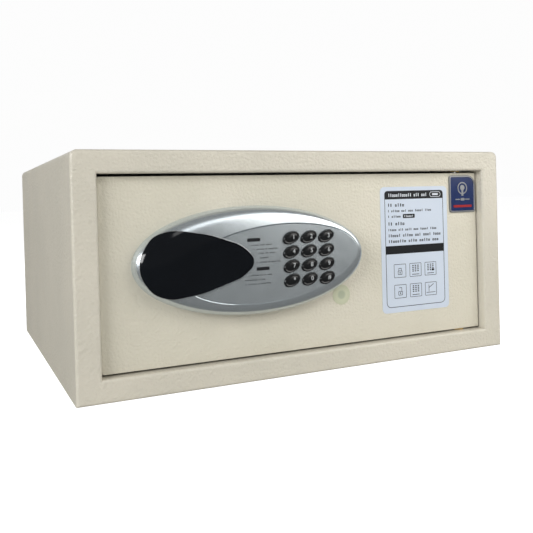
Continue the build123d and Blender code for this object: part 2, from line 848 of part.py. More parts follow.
def make_panel_cover():
    """Silver moulded shell of the panel, open under the lens, with twelve key holes."""
    shell = panel_loft(0, y_panel) - panel_loft(panel_wall, y_shell)
    shell -= lens_prism(-lens_clear, y_face - 2.0, y_panel - 5)
    for x, z in key_spots:
        shell -= prism(key_ellipse(x, z, key_clear), y_shell + 1, y_panel - 1)
        shell -= prism(key_ellipse(x, z, key_flange + key_clear), y_keymat, y_shell)
    return shell


def make_lens():
    """Smoked display lens, which carries the panel's curve on over the left end."""
    dome = panel_loft(-lens_proud, y_panel - lens_proud) - panel_loft(lens_wall, y_panel + lens_wall)
    return dome & lens_prism(0, y_face - 2.2, y_panel - 5)


def make_panel_backplate():
    """Plastic back of the panel, flat on the door, with screw posts and a wire hole."""
    inset = panel_wall + backplate_clear
    front_share = asin(backplate_wall / (panel_proud - panel_wall)) / (pi / 2)
    low = front_plane(y_face) * panel_section(0, inset)
    high = front_plane(y_face - backplate_wall) * panel_section(front_share, inset)
    plate = loft([low, high])
    for x, z in panel_screws_at:
        plate += rod_y(y_face - backplate_wall - boss_length, y_face - backplate_wall, x, z, boss_radius)
    for x, z in panel_screws_at:
        plate -= rod_y(y_face - backplate_wall - boss_length - 1, y_face + 1, x, z, screw_radius)
    return plate - rod_y(y_face - backplate_wall - 1, y_face + 1, wire_hole_x, panel_z, wire_hole / 2)


def make_panel_screws():
    """Screws from inside the door into the panel's posts."""
    length = door_wall + backplate_wall + boss_length - 1
    return group(pan_head_screw(x, z, y_door, length) for x, z in panel_screws_at)


def make_key(x, z):
    """Key cap with a rounded rim, a flange behind the shell and a stem."""
    y_top = y_panel - key_proud
    cap = prism(key_ellipse(x, z, 0), y_shell + key_flange_gap, y_top)
    cap = fillet(cap.faces().sort_by(Axis.Y)[0].edges(), key_round)
    flange = prism(key_ellipse(x, z, key_flange), y_key_back, y_shell + key_flange_gap)
    stem = rod_y(y_key_back, y_stem_end, x, z, key_stem_radius)
    return cap + flange + stem


board_x0 = key_x - key_a - pad_board_margin
board_x1 = key_x + (key_columns - 1) * key_pitch_x + key_a + pad_board_margin
board_z0 = key_z - (key_rows - 1) * key_pitch_z - key_b - pad_board_margin / 2
board_z1 = key_z + key_b + pad_board_margin / 2


def make_key_mat():
    """Rubber mat behind the keys, with a hole for each stem."""
    mat = block(board_x0, board_x1, y_keymat, y_keymat + keymat_wall, board_z0, board_z1)
    mat = fillet(mat.edges().filter_by(Axis.Y), pad_board_round)
    for x, z in key_spots:
        mat -= rod_y(y_keymat - 1, y_keymat + keymat_wall + 1, x, z, key_stem_radius + mat_hole_clear)
    return mat


def make_keypad_board():
    """Keypad circuit board."""
    board = block(board_x0, board_x1, y_pad_board, y_pad_board + pad_board_wall, board_z0, board_z1)
    return fillet(board.edges().filter_by(Axis.Y), pad_board_round)


def make_key_domes():
    """Metal switch domes, one under each key."""
    return group(rod_y(y_dome, y_pad_board, x, z, dome_radius) for x, z in key_spots)


def make_display():
    """Four-digit display module behind the lens."""
    half = digit_count * digit_width / 2
    y1 = y_pad_board + pad_board_wall
    return block(display_x - half, display_x + half, y1 - digit_depth, y1,
                 panel_z - digit_height / 2, panel_z + digit_height / 2)


# ---------------------------------------------------------------- trim and wires

def make_label():
    """Self-adhesive label with round corners."""
    outline = Pos(label_x, label_z) * RectangleRounded(label_width, label_height, label_round)
    return prism(outline, y_face, y_face - label_wall)


def make_badge():
    """Raised plate with one large round corner."""
    plate = Pos(badge_x, 0, badge_z) * Box(badge_width, badge_wall, badge_height)
    plate = Pos(0, y_face - badge_wall / 2, 0) * plate
    corners = plate.edges().filter_by(Axis.Y)
    right = corners.group_by(Axis.X)[-1]
    big = right.sort_by(Axis.Z)[-1]
    plate = fillet(big, badge_big_round)
    small = plate.edges().filter_by(Axis.Y)
    left = small.group_by(Axis.X)[0]
    return fillet(left, badge_round)


def make_disc():
    """Thin round sticker beside the panel."""
    return rod_y(y_face - disc_wall, y_face, disc_x, disc_z, disc_radius)


def cable(route):
    """Round cable along a route of straight runs with rounded corners."""
    path = FilletPolyline(*route, radius=wire_bend)
    start = Plane(origin=path @ 0, z_dir=path % 0)
    return sweep(start * Circle(wire_radius), path=path)


def make_wiring_loom():
    """Cables to the controller board from the keypad, from the motor and from the battery tray."""
    y_in = y_door + wire_lift
    y_board = y_door + board_lift
    x_in = board_x - board_width / 2 + 12
    keypad = [
        (wire_hole_x, y_pad_board + pad_board_wall, panel_z),
        (wire_hole_x, y_in, panel_z),
        (x_in, y_in, panel_z),
        (x_in, y_board, panel_z),
    ]
    motor_end = gearbox_top - gearbox_height - motor_length
    x, z, w, h, t = motor_plug
    motor = [
        (pinion_x, pinion_y, motor_end),
        (pinion_x, pinion_y, motor_end - 9),
        (board_x + x, pinion_y, motor_end - 9),
        (board_x + x, pinion_y, door_mid + z - h / 2),
    ]
    x, z, w, h, t = battery_plug
    battery = rod_x(board_x + x + w / 2, tray_x - tray_half_x, pinion_y, door_mid + z, wire_radius)
    return group([cable(keypad), cable(motor), battery])


parts = {
    "outer_wrap": make_outer_wrap(),
    "floor_panel": make_floor_panel(),
    "rear_panel": make_rear_panel(),
    "front_frame": make_front_frame(),
    "bolt_keeper": make_bolt_keeper(),
    "hinge_plates": group([make_hinge_plate(open_top + return_wall),
                           make_hinge_plate(open_low - return_wall - hinge_plate_wall)]),
    "hinge_bushes": group([make_hinge_bush(open_top, 1), make_hinge_bush(open_low, -1)]),
    "door_stops": group([make_door_stop(open_top, -1), make_door_stop(open_low, 1)]),
    "door_bumpers": make_door_bumpers(),
    "carpet_mat": make_carpet_mat(),
    "door_plate": make_door_plate(),
    "hinge_blocks": group([make_hinge_block(door_top - block_height), make_hinge_block(door_low)]),
    "hinge_pins": group([
        make_hinge_pin(door_top - block_height, open_top + return_wall + hinge_plate_wall + pin_stick),
        make_hinge_pin(open_low - return_wall - hinge_plate_wall - pin_stick, door_low + block_height),
    ]),
    "thrust_washer": make_thrust_washer(),
    "lock_box": make_lock_box(),
    "inner_cover": make_inner_cover(),
    "cover_screws": make_cover_screws(),
    "battery_tray": make_battery_tray(),
    "batteries": make_batteries(),
    "battery_contacts": make_battery_contacts(),
    "battery_lid": make_battery_lid(),
    "bolt_guide": make_bolt_guide(),
    "controller_board": make_board(),
    "controller_parts": make_board_parts(),
    "board_standoffs": make_standoffs(),
    "bolt_upper": make_bolt(bolt_z[1]),
    "bolt_lower": make_bolt(bolt_z[0]),
    "bolt_carriage": make_carriage(),
    "drive_rack": make_rack(),
    "rack_pad": make_rack_pad(),
    "drive_pinion": make_pinion(),
    "output_shaft": make_output_shaft(),
    "gearbox": make_gearbox(),
    "motor_can": make_motor_can(),
    "motor_bracket": make_motor_bracket(),
    "panel_cover": make_panel_cover(),
    "display_lens": make_lens(),
    "panel_backplate": make_panel_backplate(),
    "panel_screws": make_panel_screws(),
    "key_mat": make_key_mat(),
    "keypad_board": make_keypad_board(),
    "key_domes": make_key_domes(),
    "display_module": make_display(),
    "wiring_loom": make_wiring_loom(),
    "instruction_label": make_label(),
    "badge": make_badge(),
    "door_disc": make_disc(),
}

key_names = ["1", "2", "3", "4", "5", "6", "7", "8", "9", "star", "0", "hash"]
for name, (x, z) in zip(key_names, key_spots):
    parts["key_" + name] = make_key(x, z)

for name, shape in parts.items():
    export_step(shape, "parts/" + name + ".step")
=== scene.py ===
import math

import bpy
from mathutils import Matrix, Vector


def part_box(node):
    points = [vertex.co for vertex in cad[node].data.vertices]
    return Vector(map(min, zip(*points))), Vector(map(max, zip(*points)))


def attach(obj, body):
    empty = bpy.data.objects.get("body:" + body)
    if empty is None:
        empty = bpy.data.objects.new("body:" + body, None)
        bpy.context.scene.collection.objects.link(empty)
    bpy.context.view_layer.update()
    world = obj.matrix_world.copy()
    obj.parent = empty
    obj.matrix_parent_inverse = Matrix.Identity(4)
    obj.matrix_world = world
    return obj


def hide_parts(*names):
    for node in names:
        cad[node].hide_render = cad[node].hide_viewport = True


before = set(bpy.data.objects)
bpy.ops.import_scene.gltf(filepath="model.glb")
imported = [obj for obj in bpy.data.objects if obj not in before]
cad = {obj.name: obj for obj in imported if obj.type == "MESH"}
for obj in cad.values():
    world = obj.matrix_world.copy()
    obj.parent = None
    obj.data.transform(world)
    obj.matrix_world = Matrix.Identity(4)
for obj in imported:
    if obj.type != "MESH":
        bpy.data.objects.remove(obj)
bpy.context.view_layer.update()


# Camera. It stands left of the safe and well in front of it, a little below the level
# of the cabinet's top, and looks slightly down with a normal lens.
camera = bpy.data.objects.new("camera", bpy.data.cameras.new("camera"))
bpy.context.scene.collection.objects.link(camera)
bpy.context.scene.camera = camera
camera_forward = Vector((0.423, 0.906, -0.009)).normalized()
camera_right = camera_forward.cross(Vector((0.028, -0.003, 1.0))).normalized()
camera_up = camera_right.cross(camera_forward)
camera_place = (-0.300, -0.722, 0.1575)
camera.matrix_world = (
    Matrix.Translation(camera_place)
    @ Matrix((camera_right, camera_up, -camera_forward)).transposed().to_4x4()
)
camera.data.lens = 46.0
camera.data.shift_y = -0.115
camera.data.clip_start = 0.02


# Studio. A white sweep with four soft lights: a near one front right, a low-powered one
# high in front, a large strong one on the left and one behind for the back and the top.
def finish(name, **values):
    """A new node material, with plain values for its main shader's sockets."""
    material = bpy.data.materials.new(name)
    material.use_nodes = True
    for socket, value in values.items():
        socket = socket.replace("_", " ").title().replace("Ior", "IOR")
        main_shader(material).inputs[socket].default_value = value
    return material


def main_shader(material):
    """The material's Principled shader."""
    return material.node_tree.nodes["Principled BSDF"]


front_middle = Vector((0, -0.18, 0.1))


def softbox(name, azimuth, elevation, distance, width, height, power, tint):
    """A rectangular light that faces the middle of the safe's front; its angles are in degrees."""
    light = bpy.data.lights.new(name, "AREA")
    light.shape = "RECTANGLE"
    light.size, light.size_y = width, height
    light.energy, light.color = power, tint
    lamp = bpy.data.objects.new(name, light)
    bpy.context.scene.collection.objects.link(lamp)
    a, e = math.radians(azimuth), math.radians(elevation)
    away = Vector((math.sin(a) * math.cos(e), -math.cos(a) * math.cos(e), math.sin(e)))
    lamp.location = front_middle + away * distance
    lamp.rotation_mode = "QUATERNION"
    lamp.rotation_quaternion = (-away).to_track_quat("-Z", "Y")
    return lamp


white = (1.0, 1.0, 1.0)
warm_white = (1.0, 0.98, 0.94)
softbox("front_softbox", 47, 25, distance=1.00, width=1.0, height=0.7, power=5.6, tint=warm_white)
softbox("shoulder_softbox", 21, 45, distance=1.6, width=1.5, height=0.40, power=3.4, tint=white)
softbox("left_softbox", -64, 20, distance=2.6, width=1.7, height=0.8, power=44, tint=white)
softbox("back_softbox", 215, 35, distance=1.8, width=1.2, height=0.8, power=6, tint=white)

# what lights the safe is dim, and what the camera sees behind it is nearly white
world_light, world_seen = 0.13, 0.98
floor_light, floor_seen, floor_in_gloss = 0.0, 0.88, 0.09
studio = bpy.data.worlds.new("studio")
bpy.context.scene.world = studio
studio.use_nodes = True
world_nodes, world_links = studio.node_tree.nodes, studio.node_tree.links
seen = world_nodes.new("ShaderNodeLightPath")
level = world_nodes.new("ShaderNodeMapRange")
level.inputs["To Min"].default_value, level.inputs["To Max"].default_value = world_light, world_seen
world_links.new(seen.outputs["Is Camera Ray"], level.inputs["Value"])
world_links.new(level.outputs["Result"], world_nodes["Background"].inputs["Strength"])
world_nodes["Background"].inputs["Color"].default_value = (1, 1, 1, 1)
bpy.context.scene.view_settings.view_transform = "Standard"

bpy.ops.object.select_all(action="DESELECT")
bpy.ops.mesh.primitive_plane_add(size=40, location=(0, 0, -0.0002))
floor = bpy.context.object
floor.name = "studio_floor"
sweep_white = finish(
    "sweep_white", base_color=(0.85, 0.85, 0.84, 1), roughness=0.9, emission_color=(1, 1, 1, 1)
)
floor_nodes, floor_links = sweep_white.node_tree.nodes, sweep_white.node_tree.links
floor_shader = main_shader(sweep_white)
floor_ray = floor_nodes.new("ShaderNodeLightPath")
floor_glow = floor_nodes.new("ShaderNodeMapRange")
floor_glow.inputs["To Min"].default_value = floor_light
floor_glow.inputs["To Max"].default_value = floor_seen
floor_links.new(floor_ray.outputs["Is Camera Ray"], floor_glow.inputs["Value"])
floor_links.new(floor_glow.outputs["Result"], floor_shader.inputs["Emission Strength"])
floor_dusk = floor_nodes.new("ShaderNodeEmission")
floor_dusk.inputs["Color"].default_value = (floor_in_gloss, floor_in_gloss, floor_in_gloss, 1)
floor_mix = floor_nodes.new("ShaderNodeMixShader")
floor_links.new(floor_ray.outputs["Is Glossy Ray"], floor_mix.inputs["Fac"])
floor_links.new(floor_shader.outputs["BSDF"], floor_mix.inputs[1])
floor_links.new(floor_dusk.outputs["Emission"], floor_mix.inputs[2])
floor_links.new(floor_mix.outputs["Shader"], floor_nodes["Material Output"].inputs["Surface"])
floor.data.materials.append(sweep_white)


# Cabinet. Folded sheet steel under a cream powder coat, whose fine orange peel shows
# wherever light grazes it. The wrap, floor, back, front ring and hinge plates share the
# finish, and the door's steel has a slightly lighter one of the same kind.
def texture_noise(material, scale, detail, rough=0.5):
    """The output of a noise over the piece's own coordinates, in features per metre."""
    nodes, links = material.node_tree.nodes, material.node_tree.links
    place = nodes.new("ShaderNodeTexCoord")
    noise = nodes.new("ShaderNodeTexNoise")
    noise.inputs["Scale"].default_value = scale
    noise.inputs["Detail"].default_value = detail
    noise.inputs["Roughness"].default_value = rough
    links.new(place.outputs["Object"], noise.inputs["Vector"])
    return noise.outputs["Fac"]


def tone(material, dark, light, scale, detail, rough=0.5, ends=(0.0, 1.0)):
    """Base colour that drifts between two tones; ends are the noise levels of the two."""
    nodes, links = material.node_tree.nodes, material.node_tree.links
    ramp = nodes.new("ShaderNodeValToRGB")
    for stop, at, colour in zip(ramp.color_ramp.elements, ends, (dark, light)):
        stop.position, stop.color = at, (*colour, 1)
    links.new(texture_noise(material, scale, detail, rough), ramp.inputs["Fac"])
    links.new(ramp.outputs["Color"], main_shader(material).inputs["Base Color"])


def gloss(material, low, high, scale=0, detail=0, rough=0.5, noise=None):
    """Roughness that drifts between two values, with its own noise or a given one."""
    nodes, links = material.node_tree.nodes, material.node_tree.links
    band = nodes.new("ShaderNodeMapRange")
    band.inputs["To Min"].default_value, band.inputs["To Max"].default_value = low, high
    links.new(noise or texture_noise(material, scale, detail, rough), band.inputs["Value"])
    links.new(band.outputs["Result"], main_shader(material).inputs["Roughness"])


def relief(material, strength, depth, scale=0, detail=0, rough=0.5, noise=None):
    """Fine relief in the surface, depth metres deep, with its own noise or a given one."""
    nodes, links = material.node_tree.nodes, material.node_tree.links
    bump = nodes.new("ShaderNodeBump")
    bump.inputs["Strength"].default_value, bump.inputs["Distance"].default_value = strength, depth
    links.new(noise or texture_noise(material, scale, detail, rough), bump.inputs["Height"])
    links.new(bump.outputs["Normal"], main_shader(material).inputs["Normal"])


def powder_coat(name, dark_tone, light_tone, peel):
    """Semi-gloss powder coat: orange peel, a faint blotch in its tone and in its gloss."""
    material = finish(name)
    tone(material, dark_tone, light_tone, 14, 3, ends=(0.35, 0.65))
    gloss(material, 0.26, 0.38, 60, 2)
    relief(material, peel, 0.0008, 420, 2, 0.45)
    return material


def dress(material, *names):
    """Gives the named CAD nodes this material."""
    for name in names:
        for slot in cad[name].material_slots:
            slot.material = material


cabinet_cream = powder_coat("cabinet_cream", (0.61, 0.58, 0.495), (0.65, 0.615, 0.525), 1.0)
dress(cabinet_cream, "outer_wrap", "floor_panel", "rear_panel", "front_frame", "hinge_plates")
door_cream = powder_coat("door_cream", (0.65, 0.62, 0.515), (0.69, 0.655, 0.55), 0.95)
dress(door_cream, "door_plate", "lock_box", "inner_cover", "hinge_blocks")


# Oval panel cover. One silver-lacquered moulding over the whole keypad panel: a low dome
# whose keypad face is sunk along its upper edge and runs out level at the right and below.
door_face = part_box("door_plate")[0].y
panel_low, panel_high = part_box("panel_cover")
panel_x = (panel_low.x + panel_high.x) / 2
panel_z = (panel_low.z + panel_high.z) / 2
panel_a = (panel_high.x - panel_low.x) / 2
panel_b = (panel_high.z - panel_low.z) / 2
# the sunk keypad face: its middle, half length, half height, turn and height off the door
face_x, face_z = panel_x + 0.0140, panel_z - 0.0026
face_a, face_b, face_turn, face_depth = 0.0850, 0.0333, math.radians(5.1), 0.01596
# a key cap's half length, half height and turn, and the gap round it
key_a, key_b, key_turn, key_gap = 0.00805, 0.0051, math.radians(21), 0.00028
# cutting tools start this high off the door, or reach this high, clear of the whole panel
tool_low, tool_high = 0.0008, 0.030
key_marks = {
    "key_1": "1", "key_2": "2", "key_3": "3", "key_4": "4", "key_5": "5", "key_6": "6",
    "key_7": "7", "key_8": "8", "key_9": "9", "key_star": "*", "key_0": "0", "key_hash": "#",
}


def start_edit(piece):
    """Opens the piece in edit mode with all of it selected."""
    if bpy.context.mode != "OBJECT":
        bpy.ops.object.mode_set(mode="OBJECT")
    bpy.ops.object.select_all(action="DESELECT")
    piece.select_set(True)
    bpy.context.view_layer.objects.active = piece
    bpy.ops.object.mode_set(mode="EDIT")
    bpy.ops.mesh.select_all(action="SELECT")


def choose(piece, wanted):
    """Opens the piece in edit mode with only the wanted vertices selected."""
    start_edit(piece)
    bpy.ops.mesh.select_mode(type="VERT")
    bpy.ops.mesh.select_all(action="DESELECT")
    bpy.ops.object.mode_set(mode="OBJECT")
    for vertex in piece.data.vertices:
        vertex.select = wanted(vertex.co)
    bpy.ops.object.mode_set(mode="EDIT")


def finish_edit(piece):
    """Leaves edit mode and puts the piece's place into its mesh."""
    bpy.ops.object.mode_set(mode="OBJECT")
    bpy.ops.object.transform_apply(location=True, rotation=True, scale=True)
    return piece


def apply_modifiers(piece):
    """Applies everything in the piece's modifier stack."""
    bpy.ops.object.select_all(action="DESELECT")
    piece.select_set(True)
    bpy.context.view_layer.objects.active = piece
    for modifier in list(piece.modifiers):
        bpy.ops.object.modifier_apply(modifier=modifier.name)


def join(pieces, name):
    """Joins the pieces into the first one."""
    bpy.ops.object.select_all(action="DESELECT")
    for piece in pieces:
        piece.select_set(True)
    bpy.context.view_layer.objects.active = pieces[0]
    bpy.ops.object.join()
    pieces[0].name = name
    return pieces[0]


def cut(piece, tool, operation="DIFFERENCE"):
    """Cuts the piece with a closed tool, or keeps what they share, and drops the tool."""
    saw = piece.modifiers.new("saw", "BOOLEAN")
    saw.operation, saw.object, saw.solver = operation, tool, "EXACT"
    apply_modifiers(piece)
    bpy.data.objects.remove(tool)


def soften(piece, angle=30):
    """Smooth shading that keeps the edges sharper than the angle."""
    bpy.ops.object.select_all(action="DESELECT")
    piece.select_set(True)
    bpy.context.view_layer.objects.active = piece
    bpy.ops.object.shade_smooth_by_angle(angle=math.radians(angle))
    flat_first = piece.modifiers.new("flat_first", "WEIGHTED_NORMAL")
    flat_first.weight, flat_first.keep_sharp = 80, True
    apply_modifiers(piece)


def move_ring(old, new):
    """Takes the selected ring from one ellipse to another.

    An ellipse is its half length, half height, x, z, height off the door and turn.
    """
    a0, b0, x0, z0, h0, turn0 = old
    a1, b1, x1, z1, h1, turn1 = new
    centre = (x0, door_face - h0, z0)
    bpy.ops.transform.rotate(value=-turn0, orient_axis="Y", center_override=centre)
    bpy.ops.transform.resize(value=(a1 / a0, 1, b1 / b0), center_override=centre)
    bpy.ops.transform.translate(value=(x1 - x0, h0 - h1, z1 - z0))
    new_centre = (x1, door_face - h1, z1)
    bpy.ops.transform.rotate(value=turn1, orient_axis="Y", center_override=new_centre)


def ringed_dome(name, rings, vertices):
    """A skin through the given rings, closed at its crown."""
    bpy.ops.object.select_all(action="DESELECT")
    bpy.ops.mesh.primitive_circle_add(vertices=vertices, radius=1, rotation=(math.pi / 2, 0, 0))
    dome = bpy.context.object
    dome.name = name
    bpy.ops.object.transform_apply(location=True, rotation=True, scale=True)
    start_edit(dome)
    place = (1, 1, 0, 0, door_face, 0)
    for i, ring in enumerate(rings):
        if i:
            bpy.ops.mesh.extrude_region_move()
        move_ring(place, ring)
        place = ring
    bpy.ops.mesh.merge(type="CENTER")
    bpy.ops.mesh.select_all(action="SELECT")
    bpy.ops.mesh.normals_make_consistent(inside=False)
    return finish_edit(dome)


def oval_dome(name, profile, outset, wall):
    """A shell over the panel, through rings at the given steps inwards and heights.

    A step is 0 at the panel's foot and 1 at the edge of the keypad face.
    """
    rings = [
        (
            panel_a + (face_a - panel_a) * step + outset,
            panel_b + (face_b - panel_b) * step + outset,
            panel_x + (face_x - panel_x) * step,
            panel_z + (face_z - panel_z) * step,
            height,
            face_turn * step,
        )
        for step, height in profile
    ]
    dome = ringed_dome(name, rings, 72)
    smooth = dome.modifiers.new("smooth", "SUBSURF")
    smooth.levels = smooth.render_levels = 2
    thick = dome.modifiers.new("thick", "SOLIDIFY")
    thick.thickness, thick.offset = wall, -1
    apply_modifiers(dome)
    return dome


def oval_plug(a, b, x, z, h0, h1, turn, vertices=48):
    """A closed elliptical plug between two heights off the door."""
    middle = (x, door_face - (h0 + h1) / 2, z)
    bpy.ops.object.select_all(action="DESELECT")
    bpy.ops.mesh.primitive_cylinder_add(
        vertices=vertices, radius=1, depth=h1 - h0, rotation=(math.pi / 2, 0, 0), location=middle
    )
    plug = bpy.context.object
    bpy.ops.object.transform_apply(location=True, rotation=True, scale=True)
    start_edit(plug)
    bpy.ops.transform.resize(value=(a, 1, b), center_override=middle)
    bpy.ops.transform.rotate(value=turn, orient_axis="Y", center_override=middle)
    return finish_edit(plug)


def lean():
    """Leans what is selected as the keypad face leans: deeper along its top and its left."""
    hub = (face_x, door_face - face_depth, face_z)
    for axis, degrees in (("X", 0.93), ("Z", 0.68)):
        bpy.ops.transform.rotate(
            value=math.radians(degrees), orient_axis=axis, center_override=hub
        )


cover_profile = [
    (0.0, 0.0), (0.0, 0.0030), (0.035, 0.0062), (0.11, 0.0094), (0.24, 0.0124), (0.42, 0.0146),
    (0.65, 0.0160), (0.92, 0.0167), (1.15, 0.0170), (1.8, 0.0174), (2.6, 0.0177),
]
panel_cover = oval_dome("oval_panel", cover_profile, outset=0.0, wall=0.0024)

# only the floor end of a plug leans, which is what lies behind this plane
plug_middle = door_face - 0.023
face_plug = oval_plug(face_a, face_b, face_x, face_z, face_depth, tool_high, face_turn, vertices=160)
choose(face_plug, lambda p: p.y > plug_middle)
lean()
finish_edit(face_plug)
cut(panel_cover, face_plug)
# a fine groove round the sunk part of the face leans further, so it fades as the face runs out
groove_in, groove_radius = 0.0003, 0.00075
face_groove = oval_plug(
    face_a - groove_in, face_b - groove_in, face_x, face_z, face_depth, tool_high, face_turn,
    vertices=128,
)
choose(face_groove, lambda p: p.y > plug_middle)
lean()
top_hub = (face_x, door_face - face_depth, face_z + face_b - 0.004)
bpy.ops.transform.rotate(value=math.radians(1.2), orient_axis="X", center_override=top_hub)
choose(face_groove, lambda p: p.y < plug_middle)
bpy.ops.mesh.delete(type="VERT")
choose(face_groove, lambda p: True)
bpy.ops.mesh.delete(type="ONLY_FACE")
finish_edit(face_groove)
bpy.ops.object.convert(target="CURVE")
face_groove.data.bevel_depth, face_groove.data.bevel_resolution = groove_radius, 2
bpy.ops.object.convert(target="MESH")
cut(panel_cover, face_groove)


# the lens's own middle, left of the panel's, and how far its outline is raised
lens_middle, lens_up = -0.055, 0.0003


def lens_plug(fit, h0, h1):
    """A plug of the display lens's outline, scaled by fit, between two heights off the door."""
    bpy.ops.object.select_all(action="DESELECT")
    bpy.ops.curve.primitive_bezier_circle_add(radius=0.05)
    outline = bpy.context.object
    bpy.ops.object.mode_set(mode="EDIT")
    bpy.ops.curve.subdivide(number_cuts=2)
    bpy.ops.object.mode_set(mode="OBJECT")
    # x and z of the outline's knots, from the panel's middle
    knots = [
        (-0.1028, 0.0000), (-0.0983, 0.0143), (-0.0858, 0.0258), (-0.0550, 0.0256),
        (-0.0323, 0.0196), (-0.0128, 0.0104), (-0.0059, -0.0003), (-0.0128, -0.0100),
        (-0.0333, -0.0184), (-0.0620, -0.0254), (-0.0854, -0.0254), (-0.0983, -0.0143),
    ]
    for point, (x, z) in zip(outline.data.splines[0].bezier_points, knots):
        point.co = (x, z, 0)
        point.handle_left_type = point.handle_right_type = "AUTO"
    outline.data.resolution_u = 10
    bpy.ops.object.convert(target="MESH")
    start_edit(outline)
    bpy.ops.transform.resize(value=(fit, fit, 1), center_override=(lens_middle, 0, 0))
    bpy.ops.mesh.edge_face_add()
    bpy.ops.object.mode_set(mode="OBJECT")
    outline.rotation_euler = (math.pi / 2, 0, 0)
    outline.location = (panel_x, door_face - h0, panel_z + lens_up)
    bpy.ops.object.transform_apply(location=True, rotation=True, scale=True)
    start_edit(outline)
    if h1 > h0:
        bpy.ops.mesh.extrude_region_move(TRANSFORM_OT_translate={"value": (0, h0 - h1, 0)})
        bpy.ops.mesh.select_all(action="SELECT")
        bpy.ops.mesh.normals_make_consistent(inside=False)
    return finish_edit(outline)


cut(panel_cover, lens_plug(1.0, tool_low, tool_high))

key_spots = {}
for key_name in key_marks:
    key_low, key_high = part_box(key_name)
    key_spots[key_name] = ((key_low.x + key_high.x) / 2, (key_low.z + key_high.z) / 2)
key_tool_low = 0.008
key_plugs = [
    oval_plug(key_a + key_gap, key_b + key_gap, x, z, key_tool_low, tool_high, key_turn)
    for x, z in key_spots.values()
]
cut(panel_cover, join(key_plugs, "key_plugs"))
soften(panel_cover)

silver_lacquer = finish("silver_lacquer", metallic=0.8)
tone(silver_lacquer, (0.58, 0.635, 0.67), (0.70, 0.765, 0.80), 2600, 2, ends=(0.3, 0.7))
gloss(silver_lacquer, 0.20, 0.30, 90, 2)
relief(silver_lacquer, 0.10, 0.0001, 2600, 1)
panel_cover.data.materials.append(silver_lacquer)
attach(panel_cover, "door")
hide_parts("panel_cover")


# Display lens. A glossy smoked acrylic window, moulded to the curve of the cover and a
# little prouder than it, with a fine plated bead along its edge.
lens_profile = [
    (0.0, 0.0009), (0.0, 0.0038), (0.035, 0.0071), (0.11, 0.0103), (0.24, 0.0132), (0.42, 0.0153),
    (0.65, 0.0165), (0.92, 0.0170), (1.15, 0.0171), (1.8, 0.0172), (2.6, 0.0173),
]
display_lens = oval_dome("display_window", lens_profile, outset=0.0008, wall=0.0020)
cut(display_lens, lens_plug(0.998, tool_low, tool_high), "INTERSECT")
soften(display_lens)
smoked_acrylic = finish("smoked_acrylic")
tone(smoked_acrylic, (0.0022, 0.0030, 0.0045), (0.0045, 0.0062, 0.0085), 30, 3)
gloss(smoked_acrylic, 0.05, 0.12, 110, 4, 0.6)
display_lens.data.materials.append(smoked_acrylic)
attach(display_lens, "door")
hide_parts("display_lens")

bead_radius, bead_sink = 0.00030, 0.0004
lens_bead = lens_plug(1.0, tool_high, tool_high)
start_edit(lens_bead)
bpy.ops.mesh.delete(type="ONLY_FACE")
finish_edit(lens_bead)
bead_profile = [(step, height - bead_sink) for step, height in lens_profile]
bead_guide = oval_dome("bead_guide", bead_profile, outset=0.0004, wall=0.0010)
wrap = lens_bead.modifiers.new("wrap", "SHRINKWRAP")
wrap.target, wrap.wrap_method, wrap.use_project_y = bead_guide, "PROJECT", True
wrap.use_negative_direction = wrap.use_positive_direction = True
apply_modifiers(lens_bead)
bpy.data.objects.remove(bead_guide)
bpy.ops.object.convert(target="CURVE")
lens_bead.data.bevel_depth, lens_bead.data.bevel_resolution = bead_radius, 2
bpy.ops.object.convert(target="MESH")
lens_bead.name = "lens_bead"
soften(lens_bead, 60)
bead_plate = finish("bead_plate", metallic=1.0, base_color=(0.62, 0.64, 0.66, 1))
gloss(bead_plate, 0.16, 0.34, 240, 3)
lens_bead.data.materials.append(bead_plate)
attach(lens_bead, "door")


# Keys. Twelve glossy black caps, each an ellipse with a rounded shoulder, a shallow groove
# and a raised middle that carries a pale moulded numeral right of its centre.

# each ring's share of the cap's half length and half height, and its height off the door
key_profile = [
    (1.05, 1.08, 0.0107), (1.05, 1.08, 0.0116), (1.0, 1.0, 0.0117), (1.0, 1.0, 0.0171),
    (0.975, 0.965, 0.0177), (0.92, 0.89, 0.01798), (0.85, 0.80, 0.01785),
    (0.79, 0.72, 0.01755), (0.73, 0.65, 0.01755), (0.66, 0.58, 0.01775),
    (0.48, 0.42, 0.01795), (0.25, 0.22, 0.01804),
]
key_rings = [(key_a * u, key_b * w, 0, 0, height, key_turn) for u, w, height in key_profile]
key_cap = ringed_dome("key_cap", key_rings, 48)
start_edit(key_cap)
bpy.ops.mesh.select_all(action="DESELECT")
bpy.ops.mesh.select_non_manifold()
bpy.ops.mesh.edge_face_add()
bpy.ops.mesh.select_all(action="SELECT")
bpy.ops.mesh.normals_make_consistent(inside=False)
finish_edit(key_cap)
round_off = key_cap.modifiers.new("round_off", "SUBSURF")
round_off.levels = round_off.render_levels = 1
apply_modifiers(key_cap)
soften(key_cap, 40)

key_gloss = finish("key_gloss")
tone(key_gloss, (0.006, 0.0065, 0.007), (0.012, 0.013, 0.014), 150, 3)
gloss(key_gloss, 0.12, 0.26, 260, 3)
numeral_grey = finish("numeral_grey", roughness=0.35)
tone(numeral_grey, (0.40, 0.42, 0.43), (0.55, 0.57, 0.58), 700, 2)

